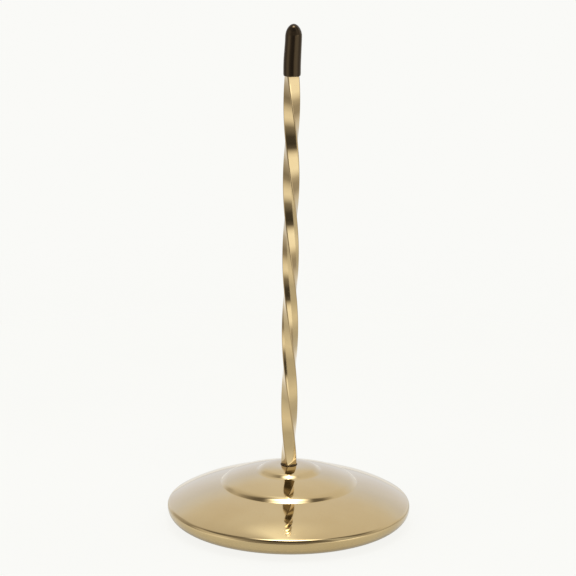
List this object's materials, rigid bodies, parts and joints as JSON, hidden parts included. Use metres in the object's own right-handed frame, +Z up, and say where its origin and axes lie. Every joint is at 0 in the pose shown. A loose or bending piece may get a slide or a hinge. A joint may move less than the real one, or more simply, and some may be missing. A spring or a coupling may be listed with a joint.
{
  "type": "bill spike",
  "caption": "Desk bill spike: a twisted square brass bar with a turned point under a soft black cap, standing on a round, weighted, spun brass foot. Holds paper slips pushed over its point.",
  "frame": {"origin": "on the desk, under the middle of the foot", "axes": "+Z up along the spike, -Y towards the front of the picture"},
  "size_m": [0.096, 0.096, 0.1979],
  "materials": {
    "polished_brass": "mirror polished, lacquered",
    "iron": "as cast",
    "dark_washer": "dark oxide",
    "steel": "zinc plated",
    "board": "raw fibreboard",
    "felt": "matt felt",
    "vinyl": "glossy dipped vinyl"
  },
  "bodies": {
    "stand": {"base_shell": "polished_brass", "ballast_weight": "iron", "shim_washer": "dark_washer", "spike_rod": "polished_brass", "flat_washer": "steel", "lock_washer": "steel", "hex_nut": "steel", "base_board": "board", "felt_pad": "felt"},
    "cap": {"tip_cap": "vinyl"}
  },
  "joints": [
    {"name": "cap_pull", "type": "slide", "parent": "stand", "child": "cap", "axis": [0, 0, 1], "range_m": [0, 0.03]}
  ]
}
